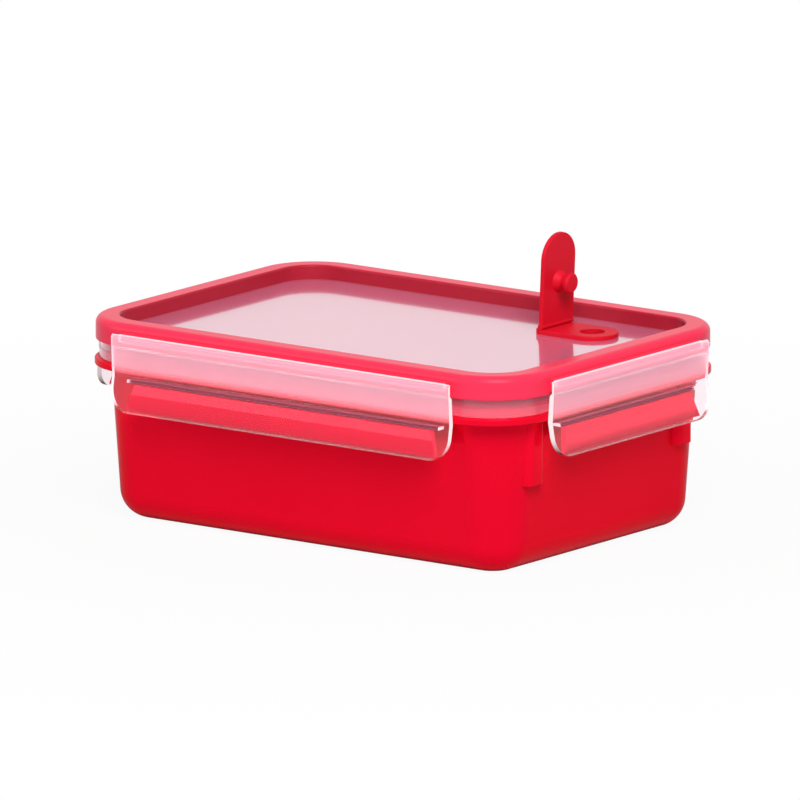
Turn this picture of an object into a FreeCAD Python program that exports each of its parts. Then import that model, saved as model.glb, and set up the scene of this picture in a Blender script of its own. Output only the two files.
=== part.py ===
import FreeCAD, Part
import math
import os

import Sketcher

# Lunch box with a clear lid, four locking clips and a steam valve
# Origin: centre of the base; +X along the long side, the front long side faces -Y, +Z up; millimetres

# Driving sizes: name, value, meaning
SIZES = [
    ("rim_length", 189.8, "container rim, outside, along X"),
    ("rim_width", 131.2, "container rim, outside, along Y"),
    ("rim_corner", 18.0, "plan radius of the rim's corners, outside"),
    ("rim_height", 64.3, "top edge of the container's rim"),
    ("wall", 1.8, "container wall"),
    ("floor", 2.2, "container floor"),
    ("wall_draft", 4.0, "wall slope below the flange, degrees"),
    ("base_round", 11.0, "round between wall and base, outside"),
    ("flange_drop", 6.3, "underside of the flange below the rim's top edge"),
    ("flange_thick", 2.7, "flange thickness"),
    ("flange_reach", 6.1, "flange edge beyond the rim's outside"),
    ("flange_edge", 0.6, "round on the flange's edges"),
    ("lug_width", 10.5, "stacking lug width"),
    ("lug_height", 24.5, "stacking lug length below the flange"),
    ("lug_reach", 1.4, "lug face beyond the rim's outside"),
    ("lug_round", 3.2, "round on the lug's upright edges"),
    ("lug_spacing", 92.0, "between the centres of the two lugs"),
    ("seal_height", 3.0, "seal ring height"),
    ("seal_gap", 0.15, "seal above the container's rim, lid unlocked"),
    ("seal_slack", 0.15, "seal to the walls of its groove"),
    ("seal_edge", 0.7, "round on the seal's lower edges"),
    ("groove_reach", 0.95, "outer wall of the seal groove beyond the rim's outside"),
    ("plug_gap", 0.5, "lid's inner wall to the container's inside"),
    ("plug_wall", 1.3, "thickness of the lid's inner wall"),
    ("plug_depth", 1.8, "inner wall below the rim's top edge"),
    ("deck_thick", 3.55, "lid plate above the seal groove"),
    ("panel_thick", 2.2, "clear panel thickness"),
    ("skirt_gap", 0.2, "skirt above the flange"),
    ("skirt_reach", 4.25, "skirt band beyond the rim's outside"),
    ("skirt_wall", 1.85, "skirt band thickness"),
    ("skirt_band", 3.3, "skirt band height"),
    ("skirt_step", 0.65, "upper skirt set back from the band"),
    ("frame_inset", 3.57, "frame's inner face inside the rim's outside"),
    ("frame_reach", 5.67, "frame's outer face beyond the rim's outside"),
    ("frame_rise", 5.5, "frame's crest above the panel"),
    ("frame_drop", 3.35, "frame's lip below the panel's top"),
    ("frame_gap", 0.12, "frame's lip to the skirt behind it"),
    ("frame_round", 3.0, "round on the frame's outer crest"),
    ("frame_inner_round", 0.9, "round on the frame's inner crest"),
    ("hinge_reach", 9.0, "clip hinge axis beyond the rim's outside"),
    ("hinge_drop", 4.5, "clip hinge axis below the frame's crest"),
    ("bead_radius", 1.45, "hinge bead on the clip's top edge"),
    ("hinge_clearance", 0.05, "bead to its groove"),
    ("rail_lip", 0.75, "wall of the hinge rail round the bead"),
    ("rail_margin", 3.0, "clip end beyond the hinge rail's end"),
    ("clip_long", 155.4, "length of the clips on the long sides"),
    ("clip_short", 96.4, "length of the clips on the short sides"),
    ("clip_drop", 27.35, "clip's lower edge below its hinge axis"),
    ("clip_plate", 2.1, "clip plate thickness"),
    ("clip_neck", 1.0, "thin neck between bead and plate"),
    ("clip_gap", 1.55, "clip plate to the flange's edge"),
    ("clip_flare", 2.25, "how far the clip flares out below the flange"),
    ("clip_corner", 8.5, "radius of the clip's lower corners"),
    ("catch_gap", 1.4, "catch ledge below the flange"),
    ("catch_bite", 1.7, "how far the catch ledge reaches under the flange"),
    ("catch_thick", 1.2, "catch ledge thickness"),
    ("catch_end", 6.0, "clip end beyond the catch ledge's end"),
    ("bar_drop", 3.3, "catch bar's top below the flange"),
    ("bar_lean", 0.4, "catch bar's top edge off the clip's inner face"),
    ("bar_depth_top", 2.2, "catch bar thickness at its top"),
    ("bar_foot", 1.0, "catch bar above the clip's lower edge"),
    ("bar_depth", 1.3, "catch bar thickness at its foot"),
    ("bar_crease", 6.7, "crease in the bar's face above the clip's lower edge"),
    ("bar_end_foot", 6.0, "clip end beyond the bar's end, at its foot"),
    ("bar_end_top", 9.5, "clip end beyond the bar's end, at its top"),
    ("vent_end", 35.0, "vent hole from the rim's end, along X"),
    ("vent_side", 28.6, "vent hole from the rim's back, along Y"),
    ("vent_radius", 4.8, "vent bore"),
    ("tongue_thick", 1.7, "valve tongue on the panel"),
    ("tongue_width", 19.5, "valve tongue and flap width"),
    ("tongue_edge", 0.4, "round on the tongue's upper edge"),
    ("stem_radius", 6.8, "valve stem through the panel"),
    ("stem_gap", 0.2, "stem to the hole in the panel"),
    ("barb_radius", 8.4, "widest part of the barb under the panel"),
    ("barb_tip_radius", 6.4, "barb's lower end"),
    ("barb_height", 3.1, "barb below the panel"),
    ("flap_arm", 16.8, "flap hinge axis to the vent's centre"),
    ("flap_pin_radius", 1.1, "round foot of the flap"),
    ("flap_saddle", 0.6, "wall of the saddle round the flap's foot"),
    ("flap_clearance", 0.08, "flap's foot to its saddle"),
    ("flap_thick", 1.8, "flap thickness"),
    ("flap_seat", 0.2, "closed flap above the tongue"),
    ("flap_height", 34.6, "flap's top above its hinge axis"),
    ("flap_edge", 0.4, "round on the flap's edges"),
    ("flap_lean", 2.5, "lean of the open flap towards the vent, degrees"),
    ("plug_offset", 0.6, "plug nearer the hinge than the vent's centre"),
    ("plug_root_radius", 4.2, "plug's cone at the flap"),
    ("plug_cone", 2.2, "height of the plug's cone"),
    ("plug_neck_radius", 2.8, "plug's neck"),
    ("plug_neck", 1.5, "length of the plug's neck"),
    ("plug_head_radius", 3.9, "plug's head"),
    ("plug_head", 2.5, "thickness of the plug's head"),
    ("plug_head_edge", 0.7, "chamfer on the plug's head"),
]

doc = FreeCAD.newDocument("lunch_box")
dims = doc.addObject("Spreadsheet::Sheet", "dims")
for row, (alias, value, meaning) in enumerate(SIZES, start=1):
    dims.set(f"A{row}", meaning)
    dims.set(f"B{row}", str(value))
    dims.setAlias(f"B{row}", alias)
doc.recompute()

# Levels along Z
FLANGE_BASE = "(dims.rim_height - dims.flange_drop)"
FLANGE_TOP = f"({FLANGE_BASE} + dims.flange_thick)"
SKIRT_FOOT = f"({FLANGE_TOP} + dims.skirt_gap)"
SKIRT_BAND_TOP = f"({SKIRT_FOOT} + dims.skirt_band)"
PLUG_FOOT = "(dims.rim_height - dims.plug_depth)"
SEAL_FOOT = "(dims.rim_height + dims.seal_gap)"
GROOVE_ROOF = f"({SEAL_FOOT} + dims.seal_height)"
PANEL_TOP = f"({GROOVE_ROOF} + dims.deck_thick)"
PANEL_FOOT = f"({PANEL_TOP} - dims.panel_thick)"
FRAME_CREST = f"({PANEL_TOP} + dims.frame_rise)"
FRAME_FOOT = f"({PANEL_TOP} - dims.frame_drop)"
HINGE_Z = f"({FRAME_CREST} - dims.hinge_drop)"
TONGUE_TOP = f"({PANEL_TOP} + dims.tongue_thick)"
FLAP_AXIS_Z = f"({TONGUE_TOP} + dims.flap_seat + dims.flap_thick / 2)"

# Offsets from the rim's outside, outward positive
CAVITY = "(-dims.wall)"
PLUG_OUTER = "(-dims.wall - dims.plug_gap)"
PLUG_INNER = f"({PLUG_OUTER} - dims.plug_wall)"
UPPER_SKIRT = "(dims.skirt_reach - dims.skirt_step)"
FRAME_INNER = "(-dims.frame_inset)"

# Places of the valve in plan
VENT_X = "(dims.rim_length / 2 - dims.vent_end)"
VENT_Y = "(dims.rim_width / 2 - dims.vent_side)"
FLAP_AXIS_X = f"({VENT_X} - dims.flap_arm)"


def number(expression):
    """Value of an expression over the driving sizes."""
    return float(dims.evalExpression(expression))


def origin_plane(body, role):
    """One of the body's own base planes."""
    return [plane for plane in body.Origin.OriginFeatures if plane.Role == role][0]


def new_body(name):
    """Empty body that becomes one node."""
    body = doc.addObject("PartDesign::Body", name)
    body.Label = name
    return body


def new_sketch(body, name, plane="XY_Plane", level=None):
    """Sketch on a base plane, raised along the plane's normal by an expression."""
    sketch = body.newObject("Sketcher::SketchObject", name)
    sketch.AttachmentSupport = (origin_plane(body, plane), [""])
    sketch.MapMode = "FlatFace"
    if level is not None:
        sketch.setExpression("AttachmentOffset.Base.z", level)
    return sketch


def bind(sketch, constraint, expression):
    """Add a dimension and tie it to an expression."""
    index = sketch.addConstraint(constraint)
    name = f"d{index}"
    sketch.renameConstraint(index, name)
    sketch.setExpression(f"Constraints.{name}", expression)


def add_outline(sketch, offset):
    """Rounded rectangle that follows the container's rim at an offset."""
    length = f"dims.rim_length + 2 * {offset}"
    width = f"dims.rim_width + 2 * {offset}"
    corner = f"dims.rim_corner + {offset}"
    half_x = number(length) / 2
    half_y = number(width) / 2
    radius = number(corner)
    flat_x = half_x - radius
    flat_y = half_y - radius
    sides = [((-flat_x, -half_y), (flat_x, -half_y)), ((half_x, -flat_y), (half_x, flat_y)),
             ((flat_x, half_y), (-flat_x, half_y)), ((-half_x, flat_y), (-half_x, -flat_y))]
    centres = [(flat_x, -flat_y), (flat_x, flat_y), (-flat_x, flat_y), (-flat_x, -flat_y)]
    lines = []
    for start, end in sides:
        segment = Part.LineSegment(FreeCAD.Vector(*start, 0), FreeCAD.Vector(*end, 0))
        lines.append(sketch.addGeometry(segment))
    arcs = []
    for quarter, centre in enumerate(centres):
        circle = Part.Circle(FreeCAD.Vector(*centre, 0), FreeCAD.Vector(0, 0, 1), radius)
        begin = (quarter - 1) * math.pi / 2
        arcs.append(sketch.addGeometry(Part.ArcOfCircle(circle, begin, begin + math.pi / 2)))
    for side in range(4):
        sketch.addConstraint(Sketcher.Constraint("Tangent", lines[side], 2, arcs[side], 1))
        sketch.addConstraint(Sketcher.Constraint("Tangent", arcs[side], 2, lines[(side + 1) % 4], 1))
    for side in (0, 2):
        sketch.addConstraint(Sketcher.Constraint("Horizontal", lines[side]))
        sketch.addConstraint(Sketcher.Constraint("Vertical", lines[side + 1]))
    for arc in arcs[1:]:
        sketch.addConstraint(Sketcher.Constraint("Equal", arcs[0], arc))
    sketch.addConstraint(Sketcher.Constraint("Symmetric", arcs[0], 3, arcs[2], 3, -1, 1))
    bind(sketch, Sketcher.Constraint("DistanceX", lines[3], 1, lines[1], 1, 2 * half_x), length)
    bind(sketch, Sketcher.Constraint("DistanceY", lines[0], 1, lines[2], 1, 2 * half_y), width)
    bind(sketch, Sketcher.Constraint("Radius", arcs[0], radius), corner)


def tie_point(sketch, geometry, end, x, y):
    """Tie a point to expressions; None leaves it on the sketch's own axis."""
    if x is None:
        sketch.addConstraint(Sketcher.Constraint("PointOnObject", geometry, end, -2))
    else:
        bind(sketch, Sketcher.Constraint("DistanceX", -1, 1, geometry, end, number(x)), x)
    if y is None:
        sketch.addConstraint(Sketcher.Constraint("PointOnObject", geometry, end, -1))
    else:
        bind(sketch, Sketcher.Constraint("DistanceY", -1, 1, geometry, end, number(y)), y)


def start_place(x, y):
    """Starting point of a sketch item; None means the sketch's own axis."""
    return FreeCAD.Vector(0 if x is None else number(x), 0 if y is None else number(y), 0)


def add_polygon(sketch, points):
    """Closed outline through points given as pairs of expressions."""
    places = [start_place(x, y) for x, y in points]
    lines = []
    for index, place in enumerate(places):
        following = places[(index + 1) % len(places)]
        lines.append(sketch.addGeometry(Part.LineSegment(place, following)))
    for index, line in enumerate(lines):
        sketch.addConstraint(Sketcher.Constraint("Coincident", line, 2, lines[(index + 1) % len(lines)], 1))
    for line, (x, y) in zip(lines, points):
        tie_point(sketch, line, 1, x, y)


def add_circle(sketch, x, y, radius):
    """Circle placed and sized by expressions."""
    circle = Part.Circle(start_place(x, y), FreeCAD.Vector(0, 0, 1), number(radius))
    index = sketch.addGeometry(circle)
    if x is None and y is None:
        sketch.addConstraint(Sketcher.Constraint("Coincident", index, 3, -1, 1))
    else:
        tie_point(sketch, index, 3, x, y)
    bind(sketch, Sketcher.Constraint("Radius", index, number(radius)), radius)


def add_tongue(sketch, tail, nose, middle, half):
    """Strip along the sketch's first axis, square at its tail and round at its nose."""
    centre = start_place(nose, middle)
    back = start_place(tail, middle)
    reach = FreeCAD.Vector(0, number(half), 0)
    lower = sketch.addGeometry(Part.LineSegment(back - reach, centre - reach))
    circle = Part.Circle(centre, FreeCAD.Vector(0, 0, 1), reach.y)
    arc = sketch.addGeometry(Part.ArcOfCircle(circle, -math.pi / 2, math.pi / 2))
    upper = sketch.addGeometry(Part.LineSegment(centre + reach, back + reach))
    end = sketch.addGeometry(Part.LineSegment(back + reach, back - reach))
    sketch.addConstraint(Sketcher.Constraint("Tangent", lower, 2, arc, 1))
    sketch.addConstraint(Sketcher.Constraint("Tangent", arc, 2, upper, 1))
    sketch.addConstraint(Sketcher.Constraint("Coincident", upper, 2, end, 1))
    sketch.addConstraint(Sketcher.Constraint("Coincident", end, 2, lower, 1))
    sketch.addConstraint(Sketcher.Constraint("Horizontal", lower))
    sketch.addConstraint(Sketcher.Constraint("Horizontal", upper))
    sketch.addConstraint(Sketcher.Constraint("Vertical", end))
    tie_point(sketch, arc, 3, nose, middle)
    bind(sketch, Sketcher.Constraint("Radius", arc, reach.y), half)
    if tail is None:
        sketch.addConstraint(Sketcher.Constraint("PointOnObject", lower, 1, -2))
    else:
        bind(sketch, Sketcher.Constraint("DistanceX", -1, 1, lower, 1, number(tail)), tail)


def add_lug(sketch, root, face, low, high, corner):
    """Block along the sketch's first axis, square at its root, with rounded corners on its face."""
    radius = number(corner)
    foot = start_place(root, low)
    head = start_place(root, high)
    reach = FreeCAD.Vector(number(face) - number(root) - radius, 0, 0)
    rise = FreeCAD.Vector(0, radius, 0)
    step = FreeCAD.Vector(radius, 0, 0)
    centres = [foot + reach + rise, head + reach - rise]
    lower = sketch.addGeometry(Part.LineSegment(foot, foot + reach))
    front = sketch.addGeometry(Part.LineSegment(centres[0] + step, centres[1] + step))
    upper = sketch.addGeometry(Part.LineSegment(head + reach, head))
    end = sketch.addGeometry(Part.LineSegment(head, foot))
    arcs = []
    for quarter, centre in enumerate(centres):
        circle = Part.Circle(centre, FreeCAD.Vector(0, 0, 1), radius)
        begin = (quarter - 1) * math.pi / 2
        arcs.append(sketch.addGeometry(Part.ArcOfCircle(circle, begin, begin + math.pi / 2)))
    for first, second in ((lower, arcs[0]), (arcs[0], front), (front, arcs[1]), (arcs[1], upper)):
        sketch.addConstraint(Sketcher.Constraint("Tangent", first, 2, second, 1))
    sketch.addConstraint(Sketcher.Constraint("Coincident", upper, 2, end, 1))
    sketch.addConstraint(Sketcher.Constraint("Coincident", end, 2, lower, 1))
    sketch.addConstraint(Sketcher.Constraint("Horizontal", lower))
    sketch.addConstraint(Sketcher.Constraint("Horizontal", upper))
    sketch.addConstraint(Sketcher.Constraint("Vertical", end))
    sketch.addConstraint(Sketcher.Constraint("Equal", arcs[0], arcs[1]))
    tie_point(sketch, lower, 1, root, low)
    bind(sketch, Sketcher.Constraint("DistanceX", -1, 1, front, 1, number(face)), face)
    bind(sketch, Sketcher.Constraint("DistanceY", -1, 1, upper, 2, number(high)), high)
    bind(sketch, Sketcher.Constraint("Radius", arcs[0], radius), corner)


def extrude(body, kind, sketch, length, sides="One side", backwards=False, taper=None):
    """Pad or pocket of a sketch, with its length and taper tied to expressions."""
    feature = body.newObject(f"PartDesign::{kind}", f"{sketch.Name}_{kind.lower()}")
    feature.Profile = sketch
    feature.setExpression("Length", length)
    feature.SideType = sides
    feature.Reversed = backwards
    if taper is not None:
        feature.setExpression("TaperAngle", taper)
    before = body.Shape.Volume if body.Shape and not body.Shape.isNull() else 0.0
    doc.recompute()
    change = body.Shape.Volume - before
    if (kind == "Pad") != (change > 0):
        raise RuntimeError(f"{feature.Name} changes the volume by {change:.1f}")
    return feature


def plan_offset(point):
    """Distance of a point, in plan, outside the rim's outline."""
    corner = number("dims.rim_corner")
    over_x = abs(point.x) - (number("dims.rim_length") / 2 - corner)
    over_y = abs(point.y) - (number("dims.rim_width") / 2 - corner)
    outside = math.hypot(max(over_x, 0.0), max(over_y, 0.0))
    return outside + min(max(over_x, over_y), 0.0) - corner


def edge_middle(edge):
    """Point half-way along an edge."""
    return edge.valueAt((edge.FirstParameter + edge.LastParameter) / 2)


def level_edges(shape, level, offset=None):
    """Names of the flat edges at a level and, where given, at an offset from the rim's outline."""
    height = number(level)
    names = []
    for index, edge in enumerate(shape.Edges, start=1):
        box = edge.BoundBox
        if abs(box.ZMin - height) > 1e-4 or abs(box.ZMax - height) > 1e-4:
            continue
        if offset is None or abs(plan_offset(edge_middle(edge)) - number(offset)) < 1e-3:
            names.append(f"Edge{index}")
    return names


def round_edges(body, names, radius, kind="Fillet"):
    """Fillet or chamfer on named edges of the body's last feature."""
    base = body.Tip
    feature = body.newObject(f"PartDesign::{kind}", f"{base.Name}_{kind.lower()}")
    feature.Base = (base, names)
    feature.setExpression("Radius" if kind == "Fillet" else "Size", radius)
    doc.recompute()
    return feature


def ring(body, name, inner, outer, low, high):
    """Ring that follows the rim between two offsets and two levels."""
    sketch = new_sketch(body, name, level=low)
    add_outline(sketch, outer)
    add_outline(sketch, inner)
    return extrude(body, "Pad", sketch, f"{high} - {low}")


def build_container():
    """Drafted tub with a flange, a straight rim and two stacking lugs at the right end."""
    body = new_body("container")
    tub = new_sketch(body, "tub", level=FLANGE_BASE)
    add_outline(tub, "0")
    extrude(body, "Pad", tub, FLANGE_BASE, backwards=True, taper="-dims.wall_draft")
    lugs = new_sketch(body, "lugs", level=FLANGE_BASE)
    face = "(dims.rim_length / 2 + dims.lug_reach)"
    root = "(dims.rim_length / 2 - dims.wall - dims.lug_height * tan(dims.wall_draft))"
    for middle in ("-dims.lug_spacing / 2", "dims.lug_spacing / 2"):
        low = f"({middle} - dims.lug_width / 2)"
        high = f"({middle} + dims.lug_width / 2)"
        add_lug(lugs, root, face, low, high, "dims.lug_round")
    extrude(body, "Pad", lugs, "dims.lug_height", backwards=True)
    cavity = new_sketch(body, "cavity", level=FLANGE_BASE)
    add_outline(cavity, CAVITY)
    extrude(body, "Pocket", cavity, f"{FLANGE_BASE} - dims.floor", taper="-dims.wall_draft")
    round_edges(body, level_edges(body.Shape, "dims.floor"), "dims.base_round - dims.wall")
    round_edges(body, level_edges(body.Shape, "0"), "dims.base_round")
    ring(body, "rim", CAVITY, "0", FLANGE_BASE, "dims.rim_height")
    ring(body, "flange", "(-dims.wall / 2)", "dims.flange_reach", FLANGE_BASE, FLANGE_TOP)
    edges = level_edges(body.Shape, FLANGE_TOP, "dims.flange_reach")
    edges += level_edges(body.Shape, FLANGE_BASE, "dims.flange_reach")
    round_edges(body, edges, "dims.flange_edge")
    round_edges(body, level_edges(body.Shape, "dims.rim_height"), "dims.wall / 3")
    return body


def build_lid_panel():
    """Clear plate with the seal groove, the inner wall and the skirt."""
    body = new_body("lid_panel")
    plate = new_sketch(body, "plate", level=PANEL_FOOT)
    add_outline(plate, UPPER_SKIRT)
    extrude(body, "Pad", plate, "dims.panel_thick")
    ring(body, "deck", PLUG_INNER, UPPER_SKIRT, GROOVE_ROOF, PANEL_FOOT)
    ring(body, "inner_wall", PLUG_INNER, PLUG_OUTER, PLUG_FOOT, GROOVE_ROOF)
    ring(body, "upper_skirt", "dims.groove_reach", UPPER_SKIRT, SKIRT_BAND_TOP, GROOVE_ROOF)
    skirt_inner = "(dims.skirt_reach - dims.skirt_wall)"
    ring(body, "skirt_band", skirt_inner, "dims.skirt_reach", SKIRT_FOOT, SKIRT_BAND_TOP)
    hole = new_sketch(body, "valve_hole", level=PANEL_TOP)
    add_circle(hole, VENT_X, VENT_Y, "dims.stem_radius + dims.stem_gap")
    extrude(body, "Pocket", hole, "dims.panel_thick")
    return body


def build_lid_seal():
    """Silicone ring under the groove's roof."""
    body = new_body("lid_seal")
    inner = f"({PLUG_OUTER} + dims.seal_slack)"
    outer = "(dims.groove_reach - dims.seal_slack)"
    ring(body, "seal", inner, outer, SEAL_FOOT, GROOVE_ROOF)
    round_edges(body, level_edges(body.Shape, SEAL_FOOT), "dims.seal_edge")
    return body


def rail_points(across, side):
    """Section of a hinge rail: from inside the frame's face to its lips above and below the bead."""
    axis = f"({across} / 2 + dims.hinge_reach)"
    root = f"({across} / 2 + dims.frame_reach - dims.rail_lip)"
    reach = "(dims.bead_radius + dims.hinge_clearance)"
    lip = f"({reach} + dims.rail_lip)"
    section = [(root, f"{HINGE_Z} + {reach} + 0.15 * dims.rail_lip"),
               (f"{axis} - {reach} / 2", f"{HINGE_Z} + {reach} + 0.15 * dims.rail_lip"),
               (f"{axis} - {reach} / 2", HINGE_Z),
               (f"{axis} + 0.24 * {reach}", f"{HINGE_Z} - 0.9 * {reach}"),
               (f"{axis} + 0.24 * {reach}", f"{HINGE_Z} - {lip}"),
               (f"{axis} - {reach} / 2", f"{HINGE_Z} - {lip} - dims.rail_lip / 2"),
               (root, f"{HINGE_Z} - {lip} - 2 * dims.rail_lip")]
    return [(f"{side} * ({x})", z) for x, z in section]


def build_lid_frame():
    """Raised ring over the lid's edge, with a grooved hinge rail on each side."""
    body = new_body("lid_frame")
    ring(body, "crest", FRAME_INNER, "dims.frame_reach", PANEL_TOP, FRAME_CREST)
    lip_inner = f"({UPPER_SKIRT} + dims.frame_gap)"
    ring(body, "lip", lip_inner, "dims.frame_reach", FRAME_FOOT, PANEL_TOP)
    round_edges(body, level_edges(body.Shape, FRAME_CREST, "dims.frame_reach"), "dims.frame_round")
    round_edges(body, level_edges(body.Shape, FRAME_CREST, FRAME_INNER), "dims.frame_inner_round")
    round_edges(body, level_edges(body.Shape, FRAME_FOOT, "dims.frame_reach"), "dims.frame_gap * 3")
    for name, plane, across, length in (("long", "YZ_Plane", "dims.rim_width", "dims.clip_long"),
                                        ("short", "XZ_Plane", "dims.rim_length", "dims.clip_short")):
        rails = new_sketch(body, f"{name}_rails", plane)
        for side in ("-1", "1"):
            add_polygon(rails, rail_points(across, side))
        extrude(body, "Pad", rails, f"{length} - 2 * dims.rail_margin", "Symmetric")
        grooves = new_sketch(body, f"{name}_grooves", plane)
        for side in ("-1", "1"):
            add_circle(grooves, f"{side} * ({across} / 2 + dims.hinge_reach)", HINGE_Z,
                       "dims.bead_radius + dims.hinge_clearance")
        extrude(body, "Pocket", grooves, length, "Symmetric")
    return body


# Clip section in the hinge frame: the axis is at the origin, heights are negative below it
CLIP_IN = "(dims.flange_reach + dims.clip_gap - dims.hinge_reach)"
CLIP_OUT = f"({CLIP_IN} + dims.clip_plate)"
CLIP_BEND = f"({FLANGE_BASE} - {HINGE_Z})"
CLIP_SHOULDER = "(-dims.bead_radius - dims.hinge_clearance - 2 * dims.rail_lip)"
CLIP_SLOPE = f"(dims.clip_flare / ({CLIP_BEND} + dims.clip_drop))"
CATCH_TOP = f"({CLIP_BEND} - dims.catch_gap)"
CATCH_TIP = "(dims.flange_reach - dims.catch_bite - dims.hinge_reach)"
BAR_TOP = f"({CLIP_BEND} - dims.bar_drop)"
BAR_CREASE = "(dims.bar_crease - dims.clip_drop)"
BAR_FOOT = "(dims.bar_foot - dims.clip_drop)"


def seat(body, side):
    """Place a clip piece's hinge frame on one side of the box."""
    turn, axis, sign, across = {
        "front": (0, "y", "-1", "dims.rim_width"), "right": (90, "x", "1", "dims.rim_length"),
        "back": (180, "y", "1", "dims.rim_width"), "left": (270, "x", "-1", "dims.rim_length")}[side]
    body.Placement = FreeCAD.Placement(FreeCAD.Vector(), FreeCAD.Rotation(FreeCAD.Vector(0, 0, 1), turn))
    body.setExpression(f"Placement.Base.{axis}", f"{sign} * ({across} / 2 + dims.hinge_reach)")
    body.setExpression("Placement.Base.z", HINGE_Z)
    doc.recompute()


def outward(points):
    """Turn outward-and-up section points into the hinge frame's Y and Z."""
    return [(f"-1 * ({out})", up) for out, up in points]


def outward_plan(points):
    """Turn along-and-outward plan points into the hinge frame's X and Y."""
    return [(along, f"-1 * ({out})") for along, out in points]


def add_corner_cut(sketch, side, length, foot, radius):
    """Waste outside one rounded lower corner of a clip."""
    end = number(length) / 2
    low = number(foot)
    size = number(radius)
    sign = int(side)
    corner = FreeCAD.Vector(sign * end, low, 0)
    upper = FreeCAD.Vector(sign * end, low + size, 0)
    inner = FreeCAD.Vector(sign * (end - size), low, 0)
    first = sketch.addGeometry(Part.LineSegment(upper, corner))
    second = sketch.addGeometry(Part.LineSegment(corner, inner))
    centre = FreeCAD.Vector(sign * (end - size), low + size, 0)
    circle = Part.Circle(centre, FreeCAD.Vector(0, 0, 1), size)
    begin, finish = (-math.pi / 2, 0.0) if sign > 0 else (math.pi, 1.5 * math.pi)
    arc = sketch.addGeometry(Part.ArcOfCircle(circle, begin, finish))
    at_foot, at_side = (1, 2) if sign > 0 else (2, 1)
    sketch.addConstraint(Sketcher.Constraint("Coincident", first, 2, second, 1))
    sketch.addConstraint(Sketcher.Constraint("Tangent", second, 2, arc, at_foot))
    sketch.addConstraint(Sketcher.Constraint("Tangent", first, 1, arc, at_side))
    sketch.addConstraint(Sketcher.Constraint("Vertical", first))
    sketch.addConstraint(Sketcher.Constraint("Horizontal", second))
    bind(sketch, Sketcher.Constraint("DistanceX", -1, 1, first, 2, corner.x), f"{side} * {length} / 2")
    bind(sketch, Sketcher.Constraint("DistanceY", -1, 1, first, 2, corner.y), foot)
    bind(sketch, Sketcher.Constraint("Radius", arc, size), radius)


def build_clip(side, length):
    """Clear flap: hinge bead, thin neck, plate with a catch ledge under the flange, flared grip edge."""
    body = new_body(f"{side}_clip")
    bead = new_sketch(body, f"{side}_bead", "YZ_Plane")
    add_circle(bead, None, None, "dims.bead_radius")
    extrude(body, "Pad", bead, length, "Symmetric")
    neck_in = "(dims.bead_radius - dims.clip_neck)"
    plate = new_sketch(body, f"{side}_plate", "YZ_Plane")
    add_polygon(plate, outward([
        ("dims.bead_radius", None), (CLIP_OUT, CLIP_BEND),
        (f"{CLIP_OUT} + dims.clip_flare", "-dims.clip_drop"),
        (f"{CLIP_IN} + dims.clip_flare", "-dims.clip_drop"), (CLIP_IN, CLIP_BEND),
        (f"{neck_in} - dims.clip_plate / 2", f"{CLIP_SHOULDER} - dims.clip_plate / 2"),
        (neck_in, CLIP_SHOULDER), (neck_in, None)]))
    extrude(body, "Pad", plate, length, "Symmetric")
    ledge = new_sketch(body, f"{side}_ledge", "YZ_Plane")
    add_polygon(ledge, outward([
        (CATCH_TIP, CATCH_TOP), (f"{CLIP_IN} + dims.clip_plate / 2", CATCH_TOP),
        (f"{CLIP_IN} + dims.clip_plate / 2", f"{CATCH_TOP} - dims.catch_thick"),
        (CATCH_TIP, f"{CATCH_TOP} - dims.catch_thick")]))
    extrude(body, "Pad", ledge, f"{length} - 2 * dims.catch_end", "Symmetric")
    bead_ends = new_sketch(body, f"{side}_bead_ends")
    for end in ("-1", "1"):
        rail_end = f"{end} * ({length} / 2 - dims.rail_margin)"
        clip_end = f"{end} * {length} / 2"
        add_polygon(bead_ends, outward_plan([(rail_end, neck_in), (clip_end, neck_in),
                                             (clip_end, "-2 * dims.bead_radius"),
                                             (rail_end, "-2 * dims.bead_radius")]))
    extrude(body, "Pocket", bead_ends, "4 * dims.bead_radius", "Symmetric")
    corners = new_sketch(body, f"{side}_corners", "XZ_Plane")
    for end in ("-1", "1"):
        add_corner_cut(corners, end, length, "-dims.clip_drop", "dims.clip_corner")
    extrude(body, "Pocket", corners, "8 * dims.clip_plate", "Symmetric")
    seat(body, side)
    return body


def build_catch_bar(side, length):
    """Red bar that backs the grip edge, on the plate's inner face below the catch ledge."""
    body = new_body(f"{side}_catch_bar")
    top_out = f"({CLIP_IN} + {CLIP_SLOPE} * ({CLIP_BEND} - {BAR_TOP}) - dims.bar_lean)"
    crease_out = f"({CLIP_IN} + {CLIP_SLOPE} * ({CLIP_BEND} - {BAR_CREASE}))"
    foot_out = f"({CLIP_IN} + {CLIP_SLOPE} * ({CLIP_BEND} - {BAR_FOOT}))"
    section = new_sketch(body, f"{side}_bar", "YZ_Plane")
    add_polygon(section, outward([
        (top_out, BAR_TOP), (crease_out, BAR_CREASE), (foot_out, BAR_FOOT),
        (f"{foot_out} - dims.bar_depth", BAR_FOOT), (f"{top_out} - dims.bar_depth_top", BAR_TOP)]))
    extrude(body, "Pad", section, f"{length} - 2 * dims.bar_end_foot", "Symmetric")
    ends = new_sketch(body, f"{side}_bar_ends", "XZ_Plane")
    for end in ("-1", "1"):
        outer = f"{end} * ({length} / 2 - dims.bar_end_foot)"
        inner = f"{end} * ({length} / 2 - dims.bar_end_top)"
        add_polygon(ends, [(outer, BAR_FOOT), (outer, BAR_TOP), (inner, BAR_TOP)])
    extrude(body, "Pocket", ends, "8 * dims.clip_plate", "Symmetric")
    seat(body, side)
    return body


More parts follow.
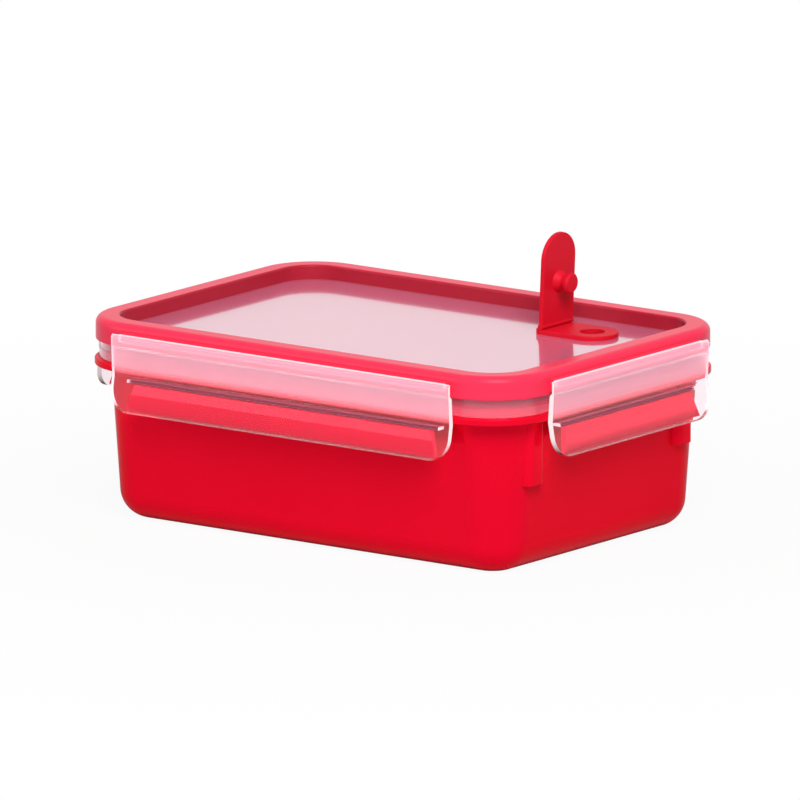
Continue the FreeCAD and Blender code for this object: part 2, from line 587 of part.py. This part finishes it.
def build_valve_base():
    """Silicone tongue with a bored stem, a barb under the panel and a saddle for the flap's foot."""
    body = new_body("valve_base")
    half = "dims.tongue_width / 2"
    saddle_radius = "(dims.flap_pin_radius + dims.flap_clearance)"
    tail = f"({FLAP_AXIS_X} - {saddle_radius} - dims.flap_saddle)"
    tongue = new_sketch(body, "tongue", level=PANEL_TOP)
    add_tongue(tongue, tail, VENT_X, VENT_Y, half)
    extrude(body, "Pad", tongue, "dims.tongue_thick")
    round_edges(body, level_edges(body.Shape, TONGUE_TOP), "dims.tongue_edge")
    heel = new_sketch(body, "heel", "XZ_Plane", level=f"-1 * {VENT_Y}")
    heel_foot = f"({TONGUE_TOP} - dims.tongue_thick / 2)"
    heel_top = f"({FLAP_AXIS_Z} - dims.flap_pin_radius / 2)"
    add_polygon(heel, [(tail, heel_foot), (FLAP_AXIS_X, heel_foot),
                       (FLAP_AXIS_X, heel_top), (tail, heel_top)])
    extrude(body, "Pad", heel, "dims.tongue_width", "Symmetric")
    saddle = new_sketch(body, "saddle", "XZ_Plane", level=f"-1 * {VENT_Y}")
    add_circle(saddle, FLAP_AXIS_X, FLAP_AXIS_Z, saddle_radius)
    extrude(body, "Pocket", saddle, "2 * dims.tongue_width", "Symmetric")
    stem = new_sketch(body, "stem", level=PANEL_FOOT)
    add_circle(stem, VENT_X, VENT_Y, "dims.stem_radius")
    extrude(body, "Pad", stem, "dims.panel_thick")
    barb = new_sketch(body, "barb", level=PANEL_FOOT)
    add_circle(barb, VENT_X, VENT_Y, "dims.barb_radius")
    slope = "-atan((dims.barb_radius - dims.barb_tip_radius) / dims.barb_height)"
    extrude(body, "Pad", barb, "dims.barb_height", backwards=True, taper=slope)
    bore = new_sketch(body, "bore", level=TONGUE_TOP)
    add_circle(bore, VENT_X, VENT_Y, "dims.vent_radius")
    extrude(body, "Pocket", bore, "dims.tongue_thick + dims.panel_thick + dims.barb_height")
    return body


def build_valve_flap():
    """Silicone tab on a round foot, with a mushroom plug on the side of the vent."""
    body = new_body("valve_flap")
    half = "dims.tongue_width / 2"
    tab = new_sketch(body, "tab", "YZ_Plane")
    upright = FreeCAD.Rotation(FreeCAD.Vector(0, 0, 1), 90)
    tab.AttachmentOffset = FreeCAD.Placement(FreeCAD.Vector(), upright)
    add_tongue(tab, None, f"dims.flap_height - {half}", None, half)
    extrude(body, "Pad", tab, "dims.flap_thick", "Symmetric")
    faces = number("dims.flap_thick / 2")
    outline = [f"Edge{index}" for index, edge in enumerate(body.Shape.Edges, start=1)
               if abs(abs(edge_middle(edge).x) - faces) < 1e-4 and edge_middle(edge).z > faces]
    round_edges(body, outline, "dims.flap_edge")
    foot = new_sketch(body, "foot", "XZ_Plane")
    add_circle(foot, None, None, "dims.flap_pin_radius")
    extrude(body, "Pad", foot, "dims.tongue_width", "Symmetric")
    plug = new_sketch(body, "plug", "XZ_Plane")
    plug.setExpression("AttachmentOffset.Base.y", "dims.flap_arm - dims.plug_offset")
    cone = "(dims.flap_thick / 2 + dims.plug_cone)"
    neck = f"({cone} + dims.plug_neck)"
    head = f"({neck} + dims.plug_head)"
    add_polygon(plug, [(None, None), (head, None), (head, "dims.plug_head_radius - dims.plug_head_edge"),
                       (f"{head} - dims.plug_head_edge", "dims.plug_head_radius"),
                       (f"{neck} + dims.plug_head_edge", "dims.plug_head_radius"),
                       (neck, "dims.plug_head_radius - dims.plug_head_edge"),
                       (neck, "dims.plug_neck_radius"), (cone, "dims.plug_neck_radius"),
                       ("dims.flap_thick / 2", "dims.plug_root_radius"), (None, "dims.plug_root_radius")])
    turned = body.newObject("PartDesign::Revolution", "plug_turned")
    turned.Profile = plug
    turned.ReferenceAxis = (plug, ["H_Axis"])
    turned.Angle = 360
    body.Placement.Rotation = FreeCAD.Rotation(FreeCAD.Vector(0, 1, 0), 1)
    body.setExpression("Placement.Rotation.Angle", "dims.flap_lean")
    body.setExpression("Placement.Base.x", FLAP_AXIS_X)
    body.setExpression("Placement.Base.y", VENT_Y)
    body.setExpression("Placement.Base.z", FLAP_AXIS_Z)
    doc.recompute()
    return body


def check_and_write(bodies):
    """Stop on any failed object, then write one file per node."""
    doc.recompute()
    failed = [item.Name for item in doc.Objects if {"Invalid", "Error"} & set(item.State)]
    bad = [body.Label for body in bodies if body.Shape.isNull() or not body.Shape.isValid()]
    if failed or bad:
        raise RuntimeError(f"failed: {failed} bad shapes: {bad}")
    os.makedirs("parts", exist_ok=True)
    for body in bodies:
        body.Shape.exportStep(f"parts/{body.Label}.step")
        print(f"{body.Label}: {len(body.Shape.Solids)} solid, {body.Shape.Volume / 1000:.2f} cm3")


SIDES = (("front", "dims.clip_long"), ("right", "dims.clip_short"),
         ("back", "dims.clip_long"), ("left", "dims.clip_short"))
nodes = [build_container(), build_lid_panel(), build_lid_seal(), build_lid_frame()]
for clip_side, clip_length in SIDES:
    nodes.append(build_clip(clip_side, clip_length))
    nodes.append(build_catch_bar(clip_side, clip_length))
nodes.append(build_valve_base())
nodes.append(build_valve_flap())
check_and_write(nodes)
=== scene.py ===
import math

import bpy
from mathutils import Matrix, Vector


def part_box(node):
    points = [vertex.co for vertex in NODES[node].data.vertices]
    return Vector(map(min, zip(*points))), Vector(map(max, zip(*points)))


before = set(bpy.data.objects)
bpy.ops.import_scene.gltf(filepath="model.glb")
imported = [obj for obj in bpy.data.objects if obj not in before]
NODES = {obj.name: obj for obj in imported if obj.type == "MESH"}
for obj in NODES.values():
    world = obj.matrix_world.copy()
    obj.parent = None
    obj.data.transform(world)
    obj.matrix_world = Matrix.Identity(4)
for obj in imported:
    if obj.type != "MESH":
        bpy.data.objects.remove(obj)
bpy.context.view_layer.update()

MM = 0.001

# Camera of the photograph: turned about the box, raised above it, through a very long lens
VIEW_AZIMUTH = math.radians(36.81)
VIEW_ELEVATION = math.radians(11.85)
VIEW_TARGET = Vector((-1.34, 0.14, 45.3)) * MM
VIEW_DISTANCE = 8.889
VIEW_LENS = 1080.0

# Studio: a white floor, a large soft key high on the camera's side, a weaker fill from the left and soft sky
FLOOR_SIZE = 6.0
FLOOR_GLOW = 0.94
FLOOR_NEAR = 0.12
FLOOR_FAR = 0.4
KEY_PLACE = (1.48, -1.36, 1.98)
KEY_SIZE = 1.5
KEY_POWER = 86.0
FILL_PLACE = (-1.7, -1.6, 0.9)
FILL_SIZE = 1.0
FILL_POWER = 12.0
SKY_STRENGTH = 0.28

# Levels of the box that its finishes follow
FLANGE_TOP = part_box("lid_panel")[0].z
PLATE_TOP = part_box("lid_panel")[1].z
CLIP_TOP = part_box("front_clip")[1].z
CLIP_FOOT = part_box("front_clip")[0].z
LEDGE_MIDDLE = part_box("front_catch_bar")[1].z + 1.3 * MM
LEDGE_REACH = 1.0 * MM
FLANGE_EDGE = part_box("container")[1]
SIDES = ("front", "right", "back", "left")


def linear(red, green, blue):
    """Colour given as 0 to 255 display values, as linear light with full cover."""
    def channel(value):
        share = value / 255
        return share / 12.92 if share <= 0.04045 else ((share + 0.055) / 1.055) ** 2.4
    return (channel(red), channel(green), channel(blue), 1.0)


# Node helpers

def add_node(tree, kind, **values):
    """New node with its inputs, or its own settings, set by name."""
    node = tree.nodes.new(kind)
    for name, value in values.items():
        label = name.replace("_", " ")
        if label in node.inputs:
            node.inputs[label].default_value = value
        else:
            setattr(node, name, value)
    return node


def join(tree, source, output, target, socket):
    """Wire one node's output to another node's input."""
    tree.links.new(source.outputs[output], target.inputs[socket])


def new_group(name, inputs, outputs):
    """Empty shader node group with named inputs (kind and default) and outputs (kind)."""
    group = bpy.data.node_groups.new(name, "ShaderNodeTree")
    for label, (kind, default) in inputs.items():
        socket = group.interface.new_socket(label, in_out="INPUT", socket_type=kind)
        socket.default_value = default
    for label, kind in outputs.items():
        group.interface.new_socket(label, in_out="OUTPUT", socket_type=kind)
    return group, group.nodes.new("NodeGroupInput"), group.nodes.new("NodeGroupOutput")


def moulded_surface_group():
    """Slow drift of tone and polish over a moulded face, with a very fine grain."""
    group, given, result = new_group(
        "moulded_surface",
        {"Deep": ("NodeSocketColor", (0.5, 0.5, 0.5, 1)), "Light": ("NodeSocketColor", (0.5, 0.5, 0.5, 1)),
         "Drift Scale": ("NodeSocketFloat", 18.0), "Grain Scale": ("NodeSocketFloat", 1500.0),
         "Smooth": ("NodeSocketFloat", 0.1), "Rough": ("NodeSocketFloat", 0.2)},
        {"Color": "NodeSocketColor", "Roughness": "NodeSocketFloat", "Height": "NodeSocketFloat"})
    place = add_node(group, "ShaderNodeTexCoord")
    drift = add_node(group, "ShaderNodeTexNoise", Detail=3.0, Roughness=0.55)
    grain = add_node(group, "ShaderNodeTexNoise", Detail=2.0)
    tone = add_node(group, "ShaderNodeMix", data_type="RGBA")
    polish = add_node(group, "ShaderNodeMapRange")
    for texture, scale in ((drift, "Drift Scale"), (grain, "Grain Scale")):
        join(group, place, "Object", texture, "Vector")
        join(group, given, scale, texture, "Scale")
    join(group, drift, "Fac", tone, "Factor")
    group.links.new(given.outputs["Deep"], tone.inputs[6])
    group.links.new(given.outputs["Light"], tone.inputs[7])
    join(group, drift, "Fac", polish, "Value")
    join(group, given, "Smooth", polish, "To Min")
    join(group, given, "Rough", polish, "To Max")
    group.links.new(tone.outputs[2], result.inputs["Color"])
    join(group, polish, "Result", result, "Roughness")
    join(group, grain, "Fac", result, "Height")
    return group


MOULDED = moulded_surface_group()


def new_material(name):
    """Material with an empty tree and its output."""
    material = bpy.data.materials.new(name)
    material.use_nodes = True
    tree = material.node_tree
    tree.nodes.clear()
    return material, tree, tree.nodes.new("ShaderNodeOutputMaterial")


def moulded_surface(tree, deep, light, smooth, rough):
    """Drifting tone between two colours and polish between two roughnesses."""
    return add_node(tree, "ShaderNodeGroup", node_tree=MOULDED, Deep=deep, Light=light, Smooth=smooth, Rough=rough)


def moulded_shader(tree, surface, color, grain, **settings):
    """Plastic or silicone with a surface's polish and fine grain, a colour output and further shader values."""
    bump = add_node(tree, "ShaderNodeBump", Strength=grain, Distance=0.05 * MM)
    shader = add_node(tree, "ShaderNodeBsdfPrincipled", **settings)
    join(tree, surface, "Height", bump, "Height")
    join(tree, surface, "Roughness", shader, "Roughness")
    join(tree, bump, "Normal", shader, "Normal")
    tree.links.new(color, shader.inputs["Base Color"])
    return shader


def opaque_material(name, deep, light, smooth, rough, grain, **settings):
    """Finished opaque plastic or silicone."""
    material, tree, out = new_material(name)
    surface = moulded_surface(tree, deep, light, smooth, rough)
    shader = moulded_shader(tree, surface, surface.outputs["Color"], grain, **settings)
    join(tree, shader, "BSDF", out, "Surface")
    return material


def frame_material():
    """Satin red ring, with painted shade on the walls that face the middle of the lid: a deeper red there."""
    material, tree, out = new_material("frame_satin_red_painted_shade")
    surface = moulded_surface(tree, linear(228, 44, 76), linear(238, 54, 86), 0.26, 0.34)
    place = add_node(tree, "ShaderNodeTexCoord")
    flat = add_node(tree, "ShaderNodeVectorMath", operation="MULTIPLY")
    flat.inputs[1].default_value = (1, 1, 0)
    towards = add_node(tree, "ShaderNodeVectorMath", operation="NORMALIZE")
    inward = add_node(tree, "ShaderNodeVectorMath", operation="DOT_PRODUCT")
    # Painted shade: walls facing the middle of the lid get a deeper red, standing in for the shade inside the
    # recess
    share = add_node(tree, "ShaderNodeMapRange", From_Min=-0.55, From_Max=-0.25, To_Min=1.0, To_Max=0.0)
    tone = add_node(tree, "ShaderNodeMix", data_type="RGBA")
    tone.inputs[7].default_value = linear(168, 34, 52)
    tree.links.new(place.outputs["Object"], flat.inputs[0])
    join(tree, flat, "Vector", towards, 0)
    tree.links.new(place.outputs["Normal"], inward.inputs[0])
    tree.links.new(towards.outputs["Vector"], inward.inputs[1])
    join(tree, inward, "Value", share, "Value")
    join(tree, share, "Result", tone, "Factor")
    tree.links.new(surface.outputs["Color"], tone.inputs[6])
    shader = moulded_shader(tree, surface, tone.outputs[2], 0.05, Specular_IOR_Level=0.1)
    join(tree, shader, "BSDF", out, "Surface")
    return material


def let_light_through(tree, shader, tint, out):
    """Clear plastic throws only a faint tinted shadow."""
    path = add_node(tree, "ShaderNodeLightPath")
    open_way = add_node(tree, "ShaderNodeBsdfTransparent", Color=tint)
    choice = add_node(tree, "ShaderNodeMixShader")
    join(tree, path, "Is Shadow Ray", choice, "Fac")
    tree.links.new(shader.outputs[0], choice.inputs[1])
    tree.links.new(open_way.outputs[0], choice.inputs[2])
    tree.links.new(choice.outputs[0], out.inputs["Surface"])


def blend_shaders(tree, share, first, second):
    """Mix of two shaders by a node's value."""
    mixed = add_node(tree, "ShaderNodeMixShader")
    tree.links.new(share, mixed.inputs["Fac"])
    tree.links.new(first.outputs[0], mixed.inputs[1])
    tree.links.new(second.outputs[0], mixed.inputs[2])
    return mixed


def clear_lid_material():
    """Polished clear lid with a painted whitish reflection: mauve and a little denser over its plate, pink and
    clearer over the skirt below.
    """
    material, tree, out = new_material("clear_lid_plate")
    surface = moulded_surface(tree, linear(250, 232, 244), linear(246, 226, 240), 0.1, 0.14)
    clear = moulded_shader(tree, surface, surface.outputs["Color"], 0.01, Transmission_Weight=1.0, IOR=1.38,
                           Coat_Weight=1.0, Coat_Roughness=0.07, Coat_IOR=1.42)
    # Painted reflection: a pale diffuse layer of about half share stands in for the whitish reflection over the
    # lid; the coat reflects for real
    painted_reflection = add_node(tree, "ShaderNodeBsdfPrincipled", Roughness=0.2, Coat_Weight=1.0, Coat_Roughness=0.07,
                    Coat_IOR=1.42)
    place = add_node(tree, "ShaderNodeTexCoord")
    split = add_node(tree, "ShaderNodeSeparateXYZ")
    plate = add_node(tree, "ShaderNodeMapRange", From_Min=PLATE_TOP - 4 * MM, From_Max=PLATE_TOP - 3 * MM)
    reflection_share = add_node(tree, "ShaderNodeMapRange", To_Min=0.42, To_Max=0.48)
    reflection_tone = add_node(tree, "ShaderNodeMix", data_type="RGBA")
    reflection_tone.inputs[6].default_value = linear(246, 96, 124)
    reflection_tone.inputs[7].default_value = linear(216, 138, 168)
    join(tree, place, "Object", split, "Vector")
    join(tree, split, "Z", plate, "Value")
    join(tree, plate, "Result", reflection_share, "Value")
    join(tree, plate, "Result", reflection_tone, "Factor")
    tree.links.new(reflection_tone.outputs[2], painted_reflection.inputs["Base Color"])
    let_light_through(tree, blend_shaders(tree, reflection_share.outputs["Result"], clear, painted_reflection), linear(222, 206, 214), out)
    return material


def clip_painted_light_masks_group():
    """Masks of a clip: painted whitish reflection from the flange upward, painted highlights on its cut ends and
    along its top and foot, painted shadow on the catch ledge.
    """
    group, given, result = new_group(
        "clip_painted_light_masks",
        {"Along": ("NodeSocketVector", (1, 0, 0)), "Out": ("NodeSocketVector", (0, 1, 0)),
         "Ledge Root": ("NodeSocketFloat", 0.07)},
        {"Painted Reflection": "NodeSocketFloat", "Edge": "NodeSocketFloat", "Ledge": "NodeSocketFloat"})
    place = add_node(group, "ShaderNodeTexCoord")
    split = add_node(group, "ShaderNodeSeparateXYZ")
    join(group, place, "Object", split, "Vector")
    # Painted reflection: share of a pale pink layer, rising from below the flange to above it
    painted_reflection_share = add_node(group, "ShaderNodeMapRange", From_Min=FLANGE_TOP - 2.4 * MM, From_Max=FLANGE_TOP + 0.8 * MM,
                    To_Min=0.015, To_Max=0.4)
    join(group, split, "Z", painted_reflection_share, "Value")
    facing = add_node(group, "ShaderNodeVectorMath", operation="DOT_PRODUCT")
    group.links.new(place.outputs["Normal"], facing.inputs[0])
    group.links.new(given.outputs["Along"], facing.inputs[1])
    size = add_node(group, "ShaderNodeMath", operation="ABSOLUTE")
    join(group, facing, "Value", size, 0)
    # Painted highlights: faces turned along the clip (its cut ends), a thin band at its top and a faint band at
    # its foot
    cut_end_highlight = add_node(group, "ShaderNodeMapRange", From_Min=0.6, From_Max=0.95, To_Max=0.95)
    join(group, size, "Value", cut_end_highlight, "Value")
    top_edge_highlight = add_node(group, "ShaderNodeMapRange", From_Min=CLIP_TOP - 0.4 * MM, From_Max=CLIP_TOP - 0.2 * MM,
                        To_Max=0.5)
    join(group, split, "Z", top_edge_highlight, "Value")
    low_edge_highlight = add_node(group, "ShaderNodeMapRange", From_Min=CLIP_FOOT + 0.2 * MM, From_Max=CLIP_FOOT + 0.5 * MM,
                        To_Min=0.05, To_Max=0.0)
    join(group, split, "Z", low_edge_highlight, "Value")
    edge_highlights = add_node(group, "ShaderNodeMath", operation="MAXIMUM")
    join(group, top_edge_highlight, "Result", edge_highlights, 0)
    join(group, low_edge_highlight, "Result", edge_highlights, 1)
    white = add_node(group, "ShaderNodeMath", operation="MAXIMUM")
    join(group, edge_highlights, "Value", white, 0)
    join(group, cut_end_highlight, "Result", white, 1)
    # Painted shadow: the catch ledge, inside the flap's outer face and at the ledge's level
    away = add_node(group, "ShaderNodeVectorMath", operation="DOT_PRODUCT")
    group.links.new(place.outputs["Object"], away.inputs[0])
    group.links.new(given.outputs["Out"], away.inputs[1])
    distance = add_node(group, "ShaderNodeMath", operation="ABSOLUTE")
    join(group, away, "Value", distance, 0)
    inside = add_node(group, "ShaderNodeMath", operation="LESS_THAN")
    join(group, distance, "Value", inside, 0)
    join(group, given, "Ledge Root", inside, 1)
    level = add_node(group, "ShaderNodeMath", operation="COMPARE")
    join(group, split, "Z", level, 0)
    level.inputs[1].default_value = LEDGE_MIDDLE
    level.inputs[2].default_value = LEDGE_REACH
    ledge = add_node(group, "ShaderNodeMath", operation="MULTIPLY")
    join(group, inside, "Value", ledge, 0)
    join(group, level, "Value", ledge, 1)
    join(group, painted_reflection_share, "Result", result, "Painted Reflection")
    join(group, white, "Value", result, "Edge")
    join(group, ledge, "Value", result, "Ledge")
    return group


CLIP_PAINTED_LIGHT = clip_painted_light_masks_group()


def clear_clip_material(name, along, out_way, flange_edge):
    """Clear flap: painted whitish reflection above the flange, clearer over the catch bar, painted shadow on the
    catch ledge, painted highlights at its cut ends.
    """
    material, tree, out = new_material(name)
    surface = moulded_surface(tree, linear(255, 244, 248), linear(253, 238, 244), 0.02, 0.06)
    clear = moulded_shader(tree, surface, surface.outputs["Color"], 0.03, Transmission_Weight=1.0, IOR=1.3)
    # Painted reflection over the flap's upper part, a pale pink layer
    painted_reflection = add_node(tree, "ShaderNodeBsdfPrincipled", Base_Color=linear(252, 194, 210), Roughness=0.4,
                    Specular_IOR_Level=0.2)
    # Painted highlight: white on the cut ends, top and foot
    white = add_node(tree, "ShaderNodeBsdfPrincipled", Base_Color=linear(255, 250, 251), Roughness=0.3)
    # Painted shadow: dark mauve on the catch ledge, standing in for the shade under the flange
    painted_shadow = add_node(tree, "ShaderNodeBsdfPrincipled", Base_Color=linear(158, 74, 98), Roughness=0.4,
                     Specular_IOR_Level=0.2)
    masks = add_node(tree, "ShaderNodeGroup", node_tree=CLIP_PAINTED_LIGHT, Along=along, Out=out_way,
                     Ledge_Root=flange_edge + 0.8 * MM)
    ledge_shadowed = blend_shaders(tree, masks.outputs["Ledge"], clear, painted_shadow)
    reflecting = blend_shaders(tree, masks.outputs["Painted Reflection"], ledge_shadowed, painted_reflection)
    highlighted = blend_shaders(tree, masks.outputs["Edge"], reflecting, white)
    let_light_through(tree, highlighted, linear(246, 228, 233), out)
    return material


# Finishes

CONTAINER_RED = opaque_material("container_gloss_red", linear(226, 9, 38), linear(234, 12, 44), 0.08, 0.14, 0.02,
                                Specular_IOR_Level=0.06, Specular_Tint=linear(235, 90, 110), Metallic=0.3)
FRAME_RED = frame_material()
CATCH_RED = opaque_material("catch_bar_red", linear(198, 8, 46), linear(208, 12, 52), 0.2, 0.3, 0.03,
                            Specular_IOR_Level=0.1)
VALVE_RED = opaque_material("valve_silicone_red", linear(200, 8, 34), linear(214, 12, 42), 0.5, 0.62, 0.1,
                            Specular_IOR_Level=0.15, Subsurface_Weight=0.1, Subsurface_Scale=1.5 * MM)
SEAL_GREY = opaque_material("seal_soft_grey", linear(168, 96, 116), linear(184, 112, 130), 0.45, 0.6, 0.08,
                            Specular_IOR_Level=0.2, Subsurface_Weight=0.2, Subsurface_Scale=2 * MM)
CLEAR_LID = clear_lid_material()
CLEAR_CLIP_LONG = clear_clip_material("clear_clip_long", (1, 0, 0), (0, 1, 0), FLANGE_EDGE.y)
CLEAR_CLIP_SHORT = clear_clip_material("clear_clip_short", (0, 1, 0), (1, 0, 0), FLANGE_EDGE.x)


def dress(node, material):
    """Give a CAD node its finish."""
    data = NODES[node].data
    data.materials.clear()
    data.materials.append(material)


dress("container", CONTAINER_RED)
dress("lid_frame", FRAME_RED)
dress("lid_panel", CLEAR_LID)
dress("lid_seal", SEAL_GREY)
dress("valve_base", VALVE_RED)
dress("valve_flap", VALVE_RED)
for side in SIDES:
    dress(f"{side}_catch_bar", CATCH_RED)
    dress(f"{side}_clip", CLEAR_CLIP_LONG if side in ("front", "back") else CLEAR_CLIP_SHORT)


# Studio

def seen_directly(tree):
    """Value of 1 for rays from the eye, from reflections and through clear pieces."""
    path = add_node(tree, "ShaderNodeLightPath")
    mirrored = add_node(tree, "ShaderNodeMath", operation="MAXIMUM")
    join(tree, path, "Is Camera Ray", mirrored, 0)
    join(tree, path, "Is Glossy Ray", mirrored, 1)
    through = add_node(tree, "ShaderNodeMath", operation="MAXIMUM")
    join(tree, mirrored, "Value", through, 0)
    join(tree, path, "Is Transmission Ray", through, 1)
    return through.outputs["Value"]


def add_floor():
    """Pale floor: white to the eye, matt in the box's own reflections near it, keeping its shadow."""
    half = FLOOR_SIZE / 2
    mesh = bpy.data.meshes.new("floor")
    mesh.from_pydata([(-half, -half, 0), (half, -half, 0), (half, half, 0), (-half, half, 0)], [], [(0, 1, 2, 3)])
    floor = bpy.data.objects.new("floor", mesh)
    bpy.context.scene.collection.objects.link(floor)
    material, tree, out = new_material("floor_white")
    matt = add_node(tree, "ShaderNodeBsdfDiffuse", Color=(0.6, 0.6, 0.6, 1))
    glow = add_node(tree, "ShaderNodeEmission", Color=(1, 1, 1, 1), Strength=1.0)
    place = add_node(tree, "ShaderNodeTexCoord")
    reach = add_node(tree, "ShaderNodeVectorMath", operation="LENGTH")
    path = add_node(tree, "ShaderNodeLightPath")
    eye = add_node(tree, "ShaderNodeMath", operation="MAXIMUM")
    eye_share = add_node(tree, "ShaderNodeMapRange", From_Min=FLOOR_NEAR, From_Max=FLOOR_FAR,
                         To_Min=FLOOR_GLOW, To_Max=1.0)
    mirror_share = add_node(tree, "ShaderNodeMapRange", From_Min=FLOOR_NEAR, From_Max=FLOOR_FAR)
    seen = add_node(tree, "ShaderNodeMath", operation="MULTIPLY")
    mirrored = add_node(tree, "ShaderNodeMath", operation="MULTIPLY")
    whiteness = add_node(tree, "ShaderNodeMath", operation="MAXIMUM")
    tree.links.new(place.outputs["Object"], reach.inputs[0])
    join(tree, reach, "Value", eye_share, "Value")
    join(tree, reach, "Value", mirror_share, "Value")
    join(tree, path, "Is Camera Ray", eye, 0)
    join(tree, path, "Is Transmission Ray", eye, 1)
    join(tree, eye, "Value", seen, 0)
    join(tree, eye_share, "Result", seen, 1)
    join(tree, path, "Is Glossy Ray", mirrored, 0)
    join(tree, mirror_share, "Result", mirrored, 1)
    join(tree, seen, "Value", whiteness, 0)
    join(tree, mirrored, "Value", whiteness, 1)
    floor_shader = blend_shaders(tree, whiteness.outputs["Value"], matt, glow)
    join(tree, floor_shader, "Shader", out, "Surface")
    mesh.materials.append(material)


def add_lamp(name, place, size, power):
    """Square soft lamp aimed at the box."""
    lamp = bpy.data.lights.new(name, "AREA")
    lamp.size = size
    lamp.energy = power
    holder = bpy.data.objects.new(name, lamp)
    holder.location = place
    holder.rotation_euler = (VIEW_TARGET - Vector(place)).to_track_quat("-Z", "Y").to_euler()
    bpy.context.scene.collection.objects.link(holder)


def set_sky():
    """White surroundings for the eye and for reflections, softer light from all round."""
    world = bpy.data.worlds.new("white_studio")
    world.use_nodes = True
    tree = world.node_tree
    tree.nodes.clear()
    out = tree.nodes.new("ShaderNodeOutputWorld")
    sky = add_node(tree, "ShaderNodeBackground", Color=(1, 1, 1, 1))
    strength = add_node(tree, "ShaderNodeMapRange", To_Min=SKY_STRENGTH, To_Max=1.0)
    tree.links.new(seen_directly(tree), strength.inputs["Value"])
    join(tree, strength, "Result", sky, "Strength")
    join(tree, sky, "Background", out, "Surface")
    bpy.context.scene.world = world


def set_camera():
    """Camera at the photograph's angle."""
    data = bpy.data.cameras.new("photo_camera")
    data.lens = VIEW_LENS
    data.clip_start = 1.0
    data.clip_end = 100.0
    camera = bpy.data.objects.new("photo_camera", data)
    towards = Vector((math.sin(VIEW_AZIMUTH) * math.cos(VIEW_ELEVATION),
                      -math.cos(VIEW_AZIMUTH) * math.cos(VIEW_ELEVATION), math.sin(VIEW_ELEVATION)))
    camera.location = VIEW_TARGET + towards * VIEW_DISTANCE
    camera.rotation_euler = (-towards).to_track_quat("-Z", "Y").to_euler()
    bpy.context.scene.collection.objects.link(camera)
    bpy.context.scene.camera = camera


add_floor()
add_lamp("key_softbox", KEY_PLACE, KEY_SIZE, KEY_POWER)
add_lamp("fill_softbox", FILL_PLACE, FILL_SIZE, FILL_POWER)
set_sky()
set_camera()
bpy.context.scene.view_settings.view_transform = "Standard"
